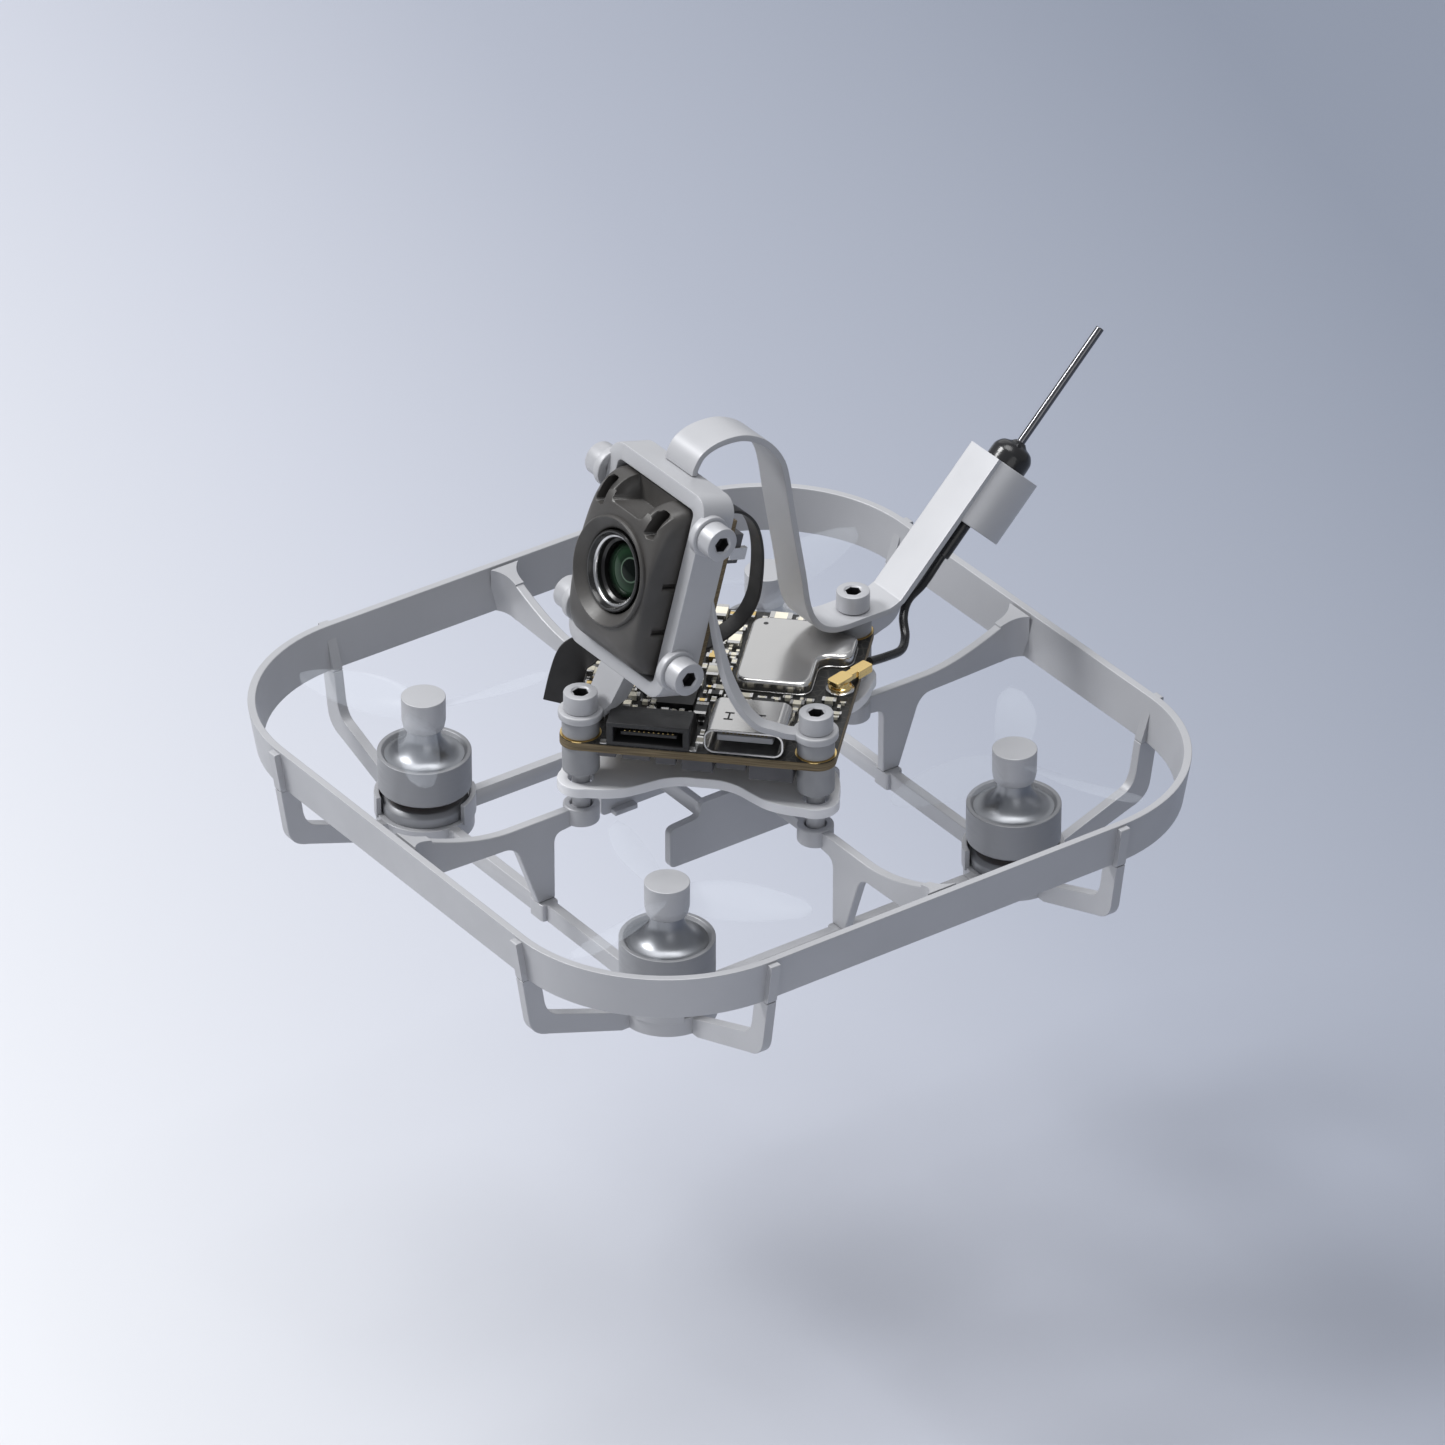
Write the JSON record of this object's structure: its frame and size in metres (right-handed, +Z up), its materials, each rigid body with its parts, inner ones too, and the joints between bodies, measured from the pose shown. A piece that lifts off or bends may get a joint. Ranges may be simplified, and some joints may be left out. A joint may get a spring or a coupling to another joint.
{
  "type": "fpv racing drone",
  "caption": "Ducted quadcopter with a camera in a tilted cradle, an antenna on a swept-back arm, a board stack and an open battery cage.",
  "frame": {"origin": "middle of the drone's footprint box, on the plane it stands on, which is the underside of the motor mounts", "axes": "+X towards the nose, where the camera looks; +Y towards the left side; +Z up"},
  "size_m": [0.0944, 0.0856, 0.053],
  "materials": {
    "frame_silver": "satin silver-grey moulding with a very fine grain",
    "canopy_silver": "satin silver-grey moulding",
    "motor_alloy": "satin anodised, polished inside the bell",
    "winding_copper": "enamelled copper wire on a black core",
    "shaft_steel": "ground steel",
    "blade_clear": "clear polycarbonate",
    "controller_grey": "satin grey solder mask",
    "board_black": "black solder mask with a tan glass-fibre edge",
    "plated_steel": "bright tin plate",
    "connector_black": "black moulded connector",
    "contact_gold": "gold plate",
    "grommet_grey": "soft grey rubber",
    "screw_steel": "satin steel with a black hex socket",
    "camera_dark": "near-black satin plastic",
    "lens_glass": "black barrel with coated front glass",
    "camera_board_tan": "tan glass-fibre board",
    "ribbon_black": "black flexible circuit",
    "antenna_black": "glossy black rubber collar and enamelled rod",
    "lead_black": "black coaxial cable"
  },
  "bodies": {
    "root": {"duct_ring": "frame_silver", "battery_cage": "frame_silver", "web_front": "frame_silver", "web_left": "frame_silver", "web_rear": "frame_silver", "web_right": "frame_silver", "rail_front": "frame_silver", "rail_left": "frame_silver", "rail_rear": "frame_silver", "rail_right": "frame_silver", "motor_mount_front_left": "frame_silver", "motor_mount_rear_left": "frame_silver", "motor_mount_rear_right": "frame_silver", "motor_mount_front_right": "frame_silver", "camera_cradle": "canopy_silver", "canopy_bow": "canopy_silver", "motor_base_front_left": "motor_alloy", "motor_base_rear_left": "motor_alloy", "motor_base_rear_right": "motor_alloy", "motor_base_front_right": "motor_alloy", "motor_stator_front_left": "winding_copper", "motor_stator_rear_left": "winding_copper", "motor_stator_rear_right": "winding_copper", "motor_stator_front_right": "winding_copper", "flight_controller": "controller_grey", "video_board": "board_black", "shield_can": "plated_steel", "usb_port": "plated_steel", "video_connector": "connector_black", "antenna_connector": "contact_gold", "stack_grommet_front": "grommet_grey", "stack_grommet_left": "grommet_grey", "stack_grommet_rear": "grommet_grey", "stack_grommet_right": "grommet_grey", "stack_screw_front": "screw_steel", "stack_screw_left": "screw_steel", "stack_screw_rear": "screw_steel", "stack_screw_right": "screw_steel", "camera_screw_left_low": "screw_steel", "camera_screw_left_high": "screw_steel", "camera_screw_right_low": "screw_steel", "camera_screw_right_high": "screw_steel", "camera_housing": "camera_dark", "camera_lens": "lens_glass", "camera_board": "camera_board_tan", "camera_ribbon": "ribbon_black", "antenna_rod": "antenna_black", "antenna_lead": "lead_black"},
    "rotor_front_left": {"motor_bell_front_left": "motor_alloy", "motor_shaft_front_left": "shaft_steel", "propeller_front_left": "blade_clear"},
    "rotor_rear_left": {"motor_bell_rear_left": "motor_alloy", "motor_shaft_rear_left": "shaft_steel", "propeller_rear_left": "blade_clear"},
    "rotor_rear_right": {"motor_bell_rear_right": "motor_alloy", "motor_shaft_rear_right": "shaft_steel", "propeller_rear_right": "blade_clear"},
    "rotor_front_right": {"motor_bell_front_right": "motor_alloy", "motor_shaft_front_right": "shaft_steel", "propeller_front_right": "blade_clear"}
  },
  "joints": [
    {"name": "rotor_front_left_spin", "type": "hinge", "parent": "root", "child": "rotor_front_left", "pos_m": [0.02731, 0.02294, 0.008], "axis": [0, 0, 1], "continuous": true},
    {"name": "rotor_rear_left_spin", "type": "hinge", "parent": "root", "child": "rotor_rear_left", "pos_m": [-0.01857, 0.02294, 0.008], "axis": [0, 0, 1], "continuous": true},
    {"name": "rotor_rear_right_spin", "type": "hinge", "parent": "root", "child": "rotor_rear_right", "pos_m": [-0.01857, -0.02294, 0.008], "axis": [0, 0, 1], "continuous": true},
    {"name": "rotor_front_right_spin", "type": "hinge", "parent": "root", "child": "rotor_front_right", "pos_m": [0.02731, -0.02294, 0.008], "axis": [0, 0, 1], "continuous": true}
  ]
}
